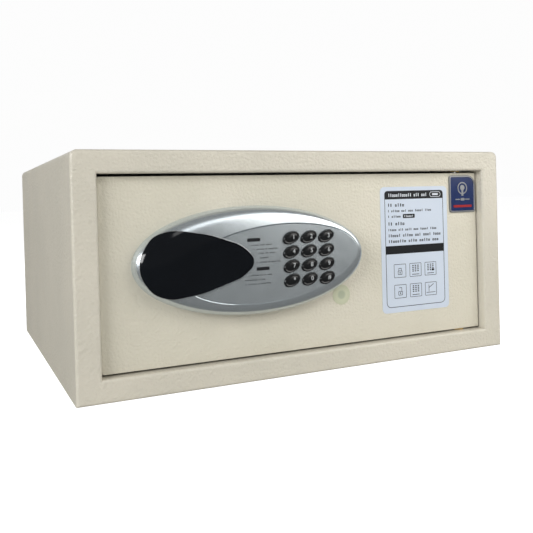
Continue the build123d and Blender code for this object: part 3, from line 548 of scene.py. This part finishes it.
numeral_right, numeral_up, numeral_height = 0.0019, 0.0004, 0.0054
numeral_face, numeral_depth, numeral_weight = door_face - 0.01795, 0.00012, 0.00003
for key_name, mark in key_marks.items():
    x, z = key_spots[key_name]
    cap = key_cap.copy()
    cap.data = key_cap.data.copy()
    bpy.context.scene.collection.objects.link(cap)
    cap.location = (x, 0, z)
    cap.data.materials.append(key_gloss)
    bpy.ops.object.select_all(action="DESELECT")
    bpy.ops.object.text_add(
        rotation=(math.pi / 2, 0, 0), location=(x + numeral_right, numeral_face, z + numeral_up)
    )
    numeral = bpy.context.object
    numeral.data.body = mark
    numeral.data.size, numeral.data.extrude = numeral_height, numeral_depth
    numeral.data.offset = numeral_weight
    numeral.data.align_x, numeral.data.align_y = "CENTER", "CENTER"
    numeral.data.resolution_u = 4
    bpy.ops.object.convert(target="MESH")
    bpy.ops.object.transform_apply(location=True, rotation=True, scale=True)
    numeral.data.materials.append(numeral_grey)
    join([cap, numeral], key_name + "_cap")
    bpy.ops.object.transform_apply(location=True, rotation=True, scale=True)
    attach(cap, "key_body_" + key_name[4:])
    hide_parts(key_name)
bpy.data.objects.remove(key_cap)


# Small print on the keypad face. Two black headings and eight fine lines between the lens
# and the keys, silk-screened. The type is a plain pattern of marks, with no words in it.
def start_print(name):
    """An empty sheet of print, open for blocks to be added."""
    sheet = bpy.data.objects.new(name, bpy.data.meshes.new(name))
    bpy.context.scene.collection.objects.link(sheet)
    start_edit(sheet)
    return sheet


def block(x, z, width, height, y, corner=0.0, line=0.0):
    """Adds a flat block that faces forward, with cut corners or as an outline where asked."""
    bpy.ops.mesh.select_all(action="DESELECT")
    bpy.ops.mesh.primitive_plane_add(size=1, rotation=(math.pi / 2, 0, 0), location=(x, y, z))
    bpy.ops.transform.resize(value=(width, 1, height), center_override=(x, y, z))
    if corner:
        bpy.ops.mesh.bevel(affect="VERTICES", offset=corner, segments=5)
    if line:
        bpy.ops.mesh.inset(thickness=line, depth=0)
        bpy.ops.mesh.delete(type="FACE")


def type_line(left, right, z, height, words, y):
    """A line of marks the size of letters, grouped in words of the given lengths."""
    # how tall and wide each kind of mark is, as shares of the line's height and pitch
    marks = ((1.0, 0.32), (0.7, 0.8), (0.7, 0.68), (0.94, 0.40), (0.7, 0.8))
    pitch = (right - left) / (sum(words) + len(words) - 1)
    x = left
    for w, letters in enumerate(words):
        for n in range(letters):
            tall, wide = marks[(n * 3 + w * 2) % len(marks)]
            # a wide mark is drawn as an outline, like a round letter
            round_line = min(pitch, height) * 0.25 if wide > 0.5 else 0.0
            mark_x, mark_z = x + pitch * 0.42, z - height * (1 - tall) / 2
            block(mark_x, mark_z, pitch * wide, height * tall, y, line=round_line)
            x += pitch
        x += pitch


def finish_print(sheet, thickness, material, body):
    """Gives the print its thickness and its ink."""
    bpy.ops.object.mode_set(mode="OBJECT")
    ink_depth = sheet.modifiers.new("ink_depth", "SOLIDIFY")
    ink_depth.thickness, ink_depth.offset = thickness, -1
    apply_modifiers(sheet)
    sheet.data.materials.append(material)
    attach(sheet, body)
    return sheet


black_ink = finish("black_ink", roughness=0.38, specular_ior_level=0.25)
tone(black_ink, (0.008, 0.009, 0.011), (0.018, 0.019, 0.022), 900, 3)

print_y = door_face - face_depth - 0.00004
panel_print = start_print("panel_print")
key_x, key_z = key_spots["key_1"]
# each line's left and right ends and height, from the middle of key 1, and its word lengths
for left, right, up, words in (
    (-0.0404, -0.0183, -0.0046, (1, 5, 3, 4)), (-0.0358, -0.0130, -0.0083, (1, 5, 1, 6)),
    (-0.0314, -0.0150, -0.0118, (4, 2, 4)), (-0.0302, -0.0215, -0.0158, (6,)),
    (-0.0334, -0.0106, -0.0195, (1, 5, 1, 6)), (-0.0412, -0.0190, -0.0303, (1, 5, 4, 3)),
    (-0.0446, -0.0258, -0.0342, (8, 4)), (-0.0443, -0.0204, -0.0377, (1, 5, 1, 6)),
):
    type_line(key_x + left, key_x + right, key_z + up, 0.0011, words, print_y)
heading_w, heading_h = 0.0120, 0.0029
block(key_x - 0.0352, key_z - 0.0002, heading_w, heading_h, print_y, 0.0002)
block(key_x - 0.0274, key_z - 0.0252, heading_w, heading_h, print_y, 0.0002)
bpy.ops.mesh.select_all(action="SELECT")
lean()
finish_print(panel_print, 0.00005, black_ink, "door")


# Instruction card. A pale blue-white laminated label stuck to the door at the right: a thin
# frame, a black heading, greeked lines of type, a black band and six small pictograms.
label_low, label_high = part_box("instruction_label")
label_x, label_z = (label_low.x + label_high.x) / 2, (label_low.z + label_high.z) / 2
label_w, label_h = label_high.x - label_low.x, label_high.z - label_low.z

card = start_print("instruction_card")
card_in, card_corner = 0.0002, 0.0045
block(label_x, label_z, label_w - card_in, label_h - card_in, label_low.y + 0.00003, card_corner)
card_paper = finish("card_paper")
tone(card_paper, (0.58, 0.65, 0.76), (0.63, 0.70, 0.80), 40, 3)
gloss(card_paper, 0.30, 0.44, 70, 2)
relief(card_paper, 0.12, 0.0002, 130, 2)
finish_print(card, 0.00024, card_paper, "door")
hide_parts("instruction_label")

print_y = label_low.y - 0.00003
card_print = start_print("card_print")
frame_w, frame_h, frame_z = 0.0705, 0.1130, label_z + 0.0006
type_left = label_x - 0.0318
block(label_x, frame_z, frame_w, frame_h, print_y, 0.0048, 0.00055)
# the heading band follows the frame's round corners at its top
block(label_x, frame_z + 0.0527, frame_w, 0.0076, print_y, 0.0034)
block(label_x, frame_z + 0.0503, frame_w, 0.0038, print_y - 0.00001)
block(label_x, frame_z - 0.0008, frame_w, 0.0080, print_y)
type_line(type_left, label_x - 0.0120, frame_z + 0.0428, 0.0032, (2, 4), print_y)
type_line(type_left, label_x + 0.0205, frame_z + 0.0371, 0.0023, (1, 5, 3, 3, 5, 4), print_y)
type_line(type_left, label_x - 0.0165, frame_z + 0.0317, 0.0023, (1, 5), print_y)
block(label_x - 0.0070, frame_z + 0.0317, 0.0142, 0.0040, print_y, 0.0008)
type_line(type_left, label_x - 0.0120, frame_z + 0.0247, 0.0032, (2, 4), print_y)
type_line(type_left, label_x + 0.0265, frame_z + 0.0188, 0.0023, (5, 3, 4, 3, 5, 4), print_y)
type_line(type_left, label_x + 0.0318, frame_z + 0.0132, 0.0029, (6, 5, 3, 4, 4), print_y)
type_line(type_left, label_x + 0.0290, frame_z + 0.0077, 0.0029, (8, 4, 5, 3), print_y)
# six pictograms in boxes: closed lock, keypad, one key pressed; open lock, keypad, open door
for row, box_z in enumerate((frame_z - 0.0214, frame_z - 0.0414)):
    for column, box_x in enumerate((label_x - 0.0190, label_x - 0.0005, label_x + 0.0178)):
        block(box_x, box_z, 0.0142, 0.0132, print_y, 0.0008, 0.00045)
        # a lock, whose shackle is lifted and loses a leg when open
        if column == 0:
            block(box_x, box_z - 0.0018, 0.0050, 0.0040, print_y, 0.0005, 0.0005)
            block(box_x, box_z - 0.0018, 0.0010, 0.0016, print_y)
            shackle = 0.0012 * row
            for side in (-1, 1):
                if row == 0 or side > 0:
                    leg_x, leg_z = box_x + side * 0.0015, box_z + 0.0012 + shackle / 2
                    block(leg_x, leg_z, 0.00045, 0.0022 + shackle, print_y)
            block(box_x, box_z + 0.0024 + shackle, 0.0034, 0.0005, print_y)
        # a keypad, with one large key in place of a small one where it is pressed
        elif column == 1 or row == 0:
            for i in range(3):
                for j in range(4):
                    if row or column == 1 or (i, j) != (2, 0):
                        dot_x, dot_z = box_x - 0.0030 + i * 0.0030, box_z - 0.0012 + j * 0.0018
                        block(dot_x, dot_z, 0.0017, 0.0010, print_y)
            if column == 2:
                block(box_x + 0.0030, box_z - 0.0012, 0.0030, 0.0020, print_y, 0.0006)
            block(box_x, box_z - 0.0044, 0.0085, 0.0006, print_y)
        # a door leaf that stands open over its sill
        else:
            block(box_x, box_z - 0.0036, 0.0110, 0.0005, print_y)
            block(box_x - 0.0024, box_z + 0.0006, 0.0005, 0.0070, print_y)
            block(box_x + 0.0004, box_z + 0.0026, 0.0072, 0.0006, print_y)
            leaf_hinge = (box_x, print_y, box_z + 0.0026)
            bpy.ops.transform.rotate(
                value=math.radians(32), orient_axis="Y", center_override=leaf_hinge
            )
finish_print(card_print, 0.00003, black_ink, "door")

white_ink = finish("white_ink", roughness=0.45)
tone(white_ink, (0.62, 0.66, 0.72), (0.74, 0.78, 0.84), 900, 2)
reversed_print = start_print("reversed_print")
white_y = print_y - 0.00006
type_line(label_x - 0.0310, label_x + 0.0155, frame_z + 0.0524, 0.0033, (12, 3, 3), white_y)
block(label_x + 0.0255, frame_z + 0.0524, 0.0135, 0.0052, white_y, 0.0024, 0.0005)
block(label_x + 0.0255, frame_z + 0.0524, 0.0072, 0.0018, white_y, 0.0006)
type_line(label_x - 0.0128, label_x - 0.0014, frame_z + 0.0317, 0.0018, (6,), white_y)
finish_print(reversed_print, 0.00003, white_ink, "door")


# Maker's badge. A small die-struck plate, bright at its raised rim, with dark blue enamel
# in its sunk field. A plain keyhole and a bar stand in it; it carries no mark of any maker.
badge_low, badge_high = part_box("badge")
badge_x, badge_z = (badge_low.x + badge_high.x) / 2, (badge_low.z + badge_high.z) / 2
badge_w, badge_h = badge_high.x - badge_low.x, badge_high.z - badge_low.z
bpy.ops.object.select_all(action="DESELECT")
badge_hub = (badge_x, door_face, badge_z)
bpy.ops.mesh.primitive_plane_add(size=1, rotation=(math.pi / 2, 0, 0), location=badge_hub)
badge_plate = bpy.context.object
badge_plate.name = "badge_plate"
bpy.ops.object.transform_apply(location=True, rotation=True, scale=True)
start_edit(badge_plate)
bpy.ops.transform.resize(value=(badge_w, 1, badge_h), center_override=badge_hub)
finish_edit(badge_plate)


def badge_corner(p):
    """How far a point is from the nearest corner of the badge, along its sides."""
    return min(p.x - badge_low.x, badge_high.x - p.x) + min(p.z - badge_low.z, badge_high.z - p.z)


# one generous corner at the upper right, three small ones
large_corner, small_corner = 0.0095, 0.0030
choose(badge_plate, lambda p: p.x > badge_x and p.z > badge_z)
bpy.ops.mesh.bevel(affect="VERTICES", offset=large_corner, segments=10)
choose(badge_plate, lambda p: badge_corner(p) < 0.0001)
bpy.ops.mesh.bevel(affect="VERTICES", offset=small_corner, segments=6)
start_edit(badge_plate)
# out to the plate's edge, in over a chamfer and a flat rim, and down to the enamel
plate_depth, chamfer_in, chamfer_out = 0.00105, 0.0004, 0.00025
rim_width, wall_in, enamel_sink = 0.0012, 0.0002, 0.00035
bpy.ops.mesh.extrude_region_move(TRANSFORM_OT_translate={"value": (0, -plate_depth, 0)})
bpy.ops.mesh.inset(thickness=chamfer_in)
bpy.ops.transform.translate(value=(0, -chamfer_out, 0))
bpy.ops.mesh.inset(thickness=rim_width)
bpy.ops.mesh.inset(thickness=wall_in)
bpy.ops.transform.translate(value=(0, enamel_sink, 0))
bpy.ops.object.mode_set(mode="OBJECT")
badge_metal = finish("badge_metal", metallic=1.0, base_color=(0.33, 0.34, 0.36, 1))
gloss(badge_metal, 0.24, 0.42, 500, 3)


def enamel(name, deep, light):
    """Glassy enamel with a slight cloud in its colour."""
    material = finish(name)
    tone(material, deep, light, 180, 3)
    gloss(material, 0.10, 0.22, 300, 2)
    return material


blue_enamel = enamel("blue_enamel", (0.010, 0.022, 0.085), (0.018, 0.035, 0.13))
red_enamel = enamel("red_enamel", (0.30, 0.02, 0.025), (0.42, 0.04, 0.04))
badge_plate.data.materials.append(badge_metal)
badge_plate.data.materials.append(blue_enamel)
# the wide field takes the enamel, and the narrow faces round it stay bare
field_area = 0.0005
for face in badge_plate.data.polygons:
    if face.area > field_area:
        face.material_index = 1
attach(badge_plate, "door")
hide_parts("badge")

emblem_y = badge_low.y + 0.0002
emblem = start_print("badge_keyhole")
ring_radius, ring_width, hole_radius = 0.0062, 0.0011, 0.0028
bpy.ops.mesh.primitive_circle_add(
    vertices=40, radius=ring_radius, fill_type="NGON", rotation=(math.pi / 2, 0, 0),
    location=(badge_x, emblem_y, badge_z + 0.0058),
)
bpy.ops.mesh.inset(thickness=ring_width)
bpy.ops.mesh.delete(type="FACE")
bpy.ops.mesh.primitive_circle_add(
    vertices=28, radius=hole_radius, fill_type="NGON", rotation=(math.pi / 2, 0, 0),
    location=(badge_x, emblem_y, badge_z + 0.0062),
)
block(badge_x, badge_z + 0.0016, 0.0024, 0.0072, emblem_y + 0.00003)
for side in (-1, 1):
    block(badge_x + side * 0.0062, badge_z - 0.0056, 0.0056, 0.0011, emblem_y, 0.0004)
block(badge_x, badge_z - 0.0056, 0.0052, 0.0026, emblem_y, 0.0010)
finish_print(emblem, 0.0003, badge_metal, "door")
badge_bar = start_print("badge_bar")
block(badge_x, badge_z - 0.0125, 0.0235, 0.0024, emblem_y, 0.0010)
finish_print(badge_bar, 0.0003, red_enamel, "door")


# Door disc. A thin pale green self-adhesive dot on the door under the panel's right end,
# a little clear at its rim and darker in its middle.
disc_low, disc_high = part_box("door_disc")
disc_green = finish("disc_green")
disc_nodes, disc_links = disc_green.node_tree.nodes, disc_green.node_tree.links
disc_place = disc_nodes.new("ShaderNodeTexCoord")
disc_centre = disc_nodes.new("ShaderNodeMapping")
disc_centre.inputs["Location"].default_value = (
    -(disc_low.x + disc_high.x) / 2, -disc_low.y, -(disc_low.z + disc_high.z) / 2
)
disc_radius = disc_nodes.new("ShaderNodeVectorMath")
disc_radius.operation = "LENGTH"
disc_ramp = disc_nodes.new("ShaderNodeMapRange")
disc_ramp.inputs["From Max"].default_value = (disc_high.x - disc_low.x) / 2
disc_tone = disc_nodes.new("ShaderNodeValToRGB")
disc_tone.color_ramp.interpolation = "EASE"
disc_stops = disc_tone.color_ramp.elements
disc_stops[0].position, disc_stops[0].color = 0.30, (0.46, 0.50, 0.37, 1)
disc_stops[1].position, disc_stops[1].color = 0.55, (0.60, 0.62, 0.46, 1)
disc_stops.new(0.93).color = (0.56, 0.58, 0.42, 1)
disc_links.new(disc_place.outputs["Object"], disc_centre.inputs["Vector"])
disc_links.new(disc_centre.outputs["Vector"], disc_radius.inputs[0])
disc_links.new(disc_radius.outputs["Value"], disc_ramp.inputs["Value"])
disc_links.new(disc_ramp.outputs["Result"], disc_tone.inputs["Fac"])
disc_links.new(disc_tone.outputs["Color"], main_shader(disc_green).inputs["Base Color"])
gloss(disc_green, 0.22, 0.40, 200, 2)
dress(disc_green, "door_disc")


# Carpet mat. A grey needle-felt sheet, 3 mm thick, laid loose on the safe's floor, with
# four round openings over the anchor holes.
mat_low, mat_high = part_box("carpet_mat")
mat_w, mat_l = mat_high.x - mat_low.x, mat_high.y - mat_low.y
# the felt is drawn a little thinner than its 3 mm, which leaves room for its swell
felt_thick, felt_down, swell_height = 0.0026, 0.0003, 0.0005
opening_radius, opening_x, opening_y = 0.010, 0.12, 0.09
bpy.ops.object.select_all(action="DESELECT")
bpy.ops.mesh.primitive_grid_add(
    x_subdivisions=84, y_subdivisions=72, size=1,
    location=((mat_low.x + mat_high.x) / 2, (mat_low.y + mat_high.y) / 2, mat_high.z - felt_down),
)
felt_mat = bpy.context.object
felt_mat.name = "felt_mat"
felt_mat.scale = (mat_w, mat_l, 1)
bpy.ops.object.transform_apply(location=True, rotation=True, scale=True)
felt_depth = felt_mat.modifiers.new("felt_depth", "SOLIDIFY")
felt_depth.thickness, felt_depth.offset = felt_thick, -1
apply_modifiers(felt_mat)
for x in (-opening_x, opening_x):
    for y in (-opening_y, opening_y):
        bpy.ops.object.select_all(action="DESELECT")
        bpy.ops.mesh.primitive_cylinder_add(
            vertices=40, radius=opening_radius, depth=0.02, location=(x, y, 0.003)
        )
        cut(felt_mat, bpy.context.object)
felt_swell = bpy.data.textures.new("felt_swell", "CLOUDS")
felt_swell.noise_scale = 0.03
swell = felt_mat.modifiers.new("swell", "DISPLACE")
swell.texture, swell.strength = felt_swell, swell_height
swell.texture_coords, swell.direction = "GLOBAL", "Z"
apply_modifiers(felt_mat)
soften(felt_mat, 40)
grey_felt = finish("grey_felt", roughness=0.95, sheen_weight=0.4)
tone(grey_felt, (0.045, 0.047, 0.05), (0.13, 0.132, 0.138), 900, 6, 0.7, ends=(0.3, 0.7))
relief(grey_felt, 0.6, 0.0006, 1100, 5, 0.7)
felt_mat.data.materials.append(grey_felt)
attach(felt_mat, "cabinet")
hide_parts("carpet_mat")


# Bolts, hinges and lock works. Turned and stamped metal behind the door: bright steel bolts
# and hinge pins, brass bushes and pinion, and zinc plate on what is pressed from sheet.
def plain_metal(name, dark, light, rough_low, rough_high, grain, stretch=(1, 1, 1)):
    """Bare or plated metal, with fine tool marks drawn out along one direction."""
    material = finish(name, metallic=1.0)
    nodes, links = material.node_tree.nodes, material.node_tree.links
    tone(material, dark, light, grain * 0.4, 4, 0.6)
    place, draw = nodes.new("ShaderNodeTexCoord"), nodes.new("ShaderNodeMapping")
    draw.inputs["Scale"].default_value = stretch
    marks = nodes.new("ShaderNodeTexNoise")
    marks.inputs["Scale"].default_value, marks.inputs["Detail"].default_value = grain, 3
    links.new(place.outputs["Object"], draw.inputs["Vector"])
    links.new(draw.outputs["Vector"], marks.inputs["Vector"])
    gloss(material, rough_low, rough_high, noise=marks.outputs["Fac"])
    relief(material, 0.12, 0.0001, noise=marks.outputs["Fac"])
    return material


bolt_steel = plain_metal(
    "bolt_steel", (0.50, 0.50, 0.50), (0.68, 0.68, 0.67), 0.12, 0.30, 900, (1, 0.05, 0.05)
)
dress(bolt_steel, "bolt_upper", "bolt_lower")
pin_steel = plain_metal(
    "pin_steel", (0.50, 0.50, 0.50), (0.66, 0.66, 0.65), 0.15, 0.32, 900, (1, 1, 0.1)
)
dress(pin_steel, "hinge_pins", "output_shaft")
zinc_plate = plain_metal("zinc_plate", (0.42, 0.43, 0.44), (0.62, 0.63, 0.63), 0.28, 0.48, 260)
dress(zinc_plate, "bolt_keeper", "bolt_guide", "bolt_carriage", "motor_bracket", "drive_rack")
dress(zinc_plate, "gearbox", "motor_can", "board_standoffs")
screw_zinc = plain_metal("screw_zinc", (0.48, 0.49, 0.50), (0.66, 0.67, 0.68), 0.22, 0.38, 1200)
dress(screw_zinc, "cover_screws", "panel_screws", "key_domes", "battery_contacts")
turned_brass = plain_metal(
    "turned_brass", (0.50, 0.34, 0.13), (0.70, 0.50, 0.22), 0.20, 0.36, 700, (0.2, 0.2, 1)
)
dress(turned_brass, "hinge_bushes", "thrust_washer", "drive_pinion")


# Plastic, rubber and boards. Moulded black parts with a fine spark texture, matt rubber,
# nylon, green circuit boards, printed cells and the bundle of wires between the boards.
def moulded(name, dark, light, rough_low, rough_high, grain, bumpiness):
    """Moulded or coated non-metal with a fine grain in its tone, gloss and surface."""
    material = finish(name)
    tone(material, dark, light, grain * 0.3, 3, ends=(0.35, 0.65))
    gloss(material, rough_low, rough_high, grain * 0.5, 2)
    relief(material, bumpiness, 0.0001, grain, 2)
    return material


spark_black = moulded(
    "spark_black", (0.018, 0.018, 0.019), (0.030, 0.030, 0.031), 0.42, 0.60, 1500, 0.35
)
dress(spark_black, "panel_backplate", "battery_tray", "battery_lid")
dress(spark_black, "controller_parts", "display_module")
black_rubber = moulded(
    "black_rubber", (0.012, 0.012, 0.012), (0.022, 0.022, 0.021), 0.70, 0.90, 700, 0.30
)
# the door stops take this black too, so the gap along the door's top shows black: painted shade in
# that gap
dress(black_rubber, "door_bumpers", "key_mat", "door_stops")
white_nylon = moulded("white_nylon", (0.66, 0.65, 0.60), (0.74, 0.73, 0.68), 0.35, 0.50, 500, 0.15)
dress(white_nylon, "rack_pad")
board_green = moulded(
    "board_green", (0.010, 0.085, 0.035), (0.018, 0.135, 0.055), 0.22, 0.40, 420, 0.30
)
dress(board_green, "controller_board", "keypad_board")
cable_sleeve = moulded(
    "cable_sleeve", (0.020, 0.020, 0.022), (0.040, 0.038, 0.040), 0.38, 0.55, 600, 0.15
)
dress(cable_sleeve, "wiring_loom")

# each cell's printed jacket is black, with a copper-coloured band at one end
cell_jacket = finish("cell_jacket")
jacket_nodes, jacket_links = cell_jacket.node_tree.nodes, cell_jacket.node_tree.links
cell_low, cell_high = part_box("batteries")
jacket_place = jacket_nodes.new("ShaderNodeTexCoord")
jacket_axes = jacket_nodes.new("ShaderNodeSeparateXYZ")
jacket_run = jacket_nodes.new("ShaderNodeMapRange")
jacket_run.inputs["From Min"].default_value = cell_low.x
jacket_run.inputs["From Max"].default_value = cell_high.x
jacket_band = jacket_nodes.new("ShaderNodeValToRGB")
jacket_band.color_ramp.interpolation = "CONSTANT"
jacket_stops = jacket_band.color_ramp.elements
jacket_stops[0].color = (0.020, 0.021, 0.024, 1)
jacket_stops[1].position, jacket_stops[1].color = 0.72, (0.52, 0.34, 0.12, 1)
jacket_links.new(jacket_place.outputs["Object"], jacket_axes.inputs["Vector"])
jacket_links.new(jacket_axes.outputs["X"], jacket_run.inputs["Value"])
jacket_links.new(jacket_run.outputs["Result"], jacket_band.inputs["Fac"])
jacket_links.new(jacket_band.outputs["Color"], main_shader(cell_jacket).inputs["Base Color"])
gloss(cell_jacket, 0.22, 0.36, 200, 3)
dress(cell_jacket, "batteries")
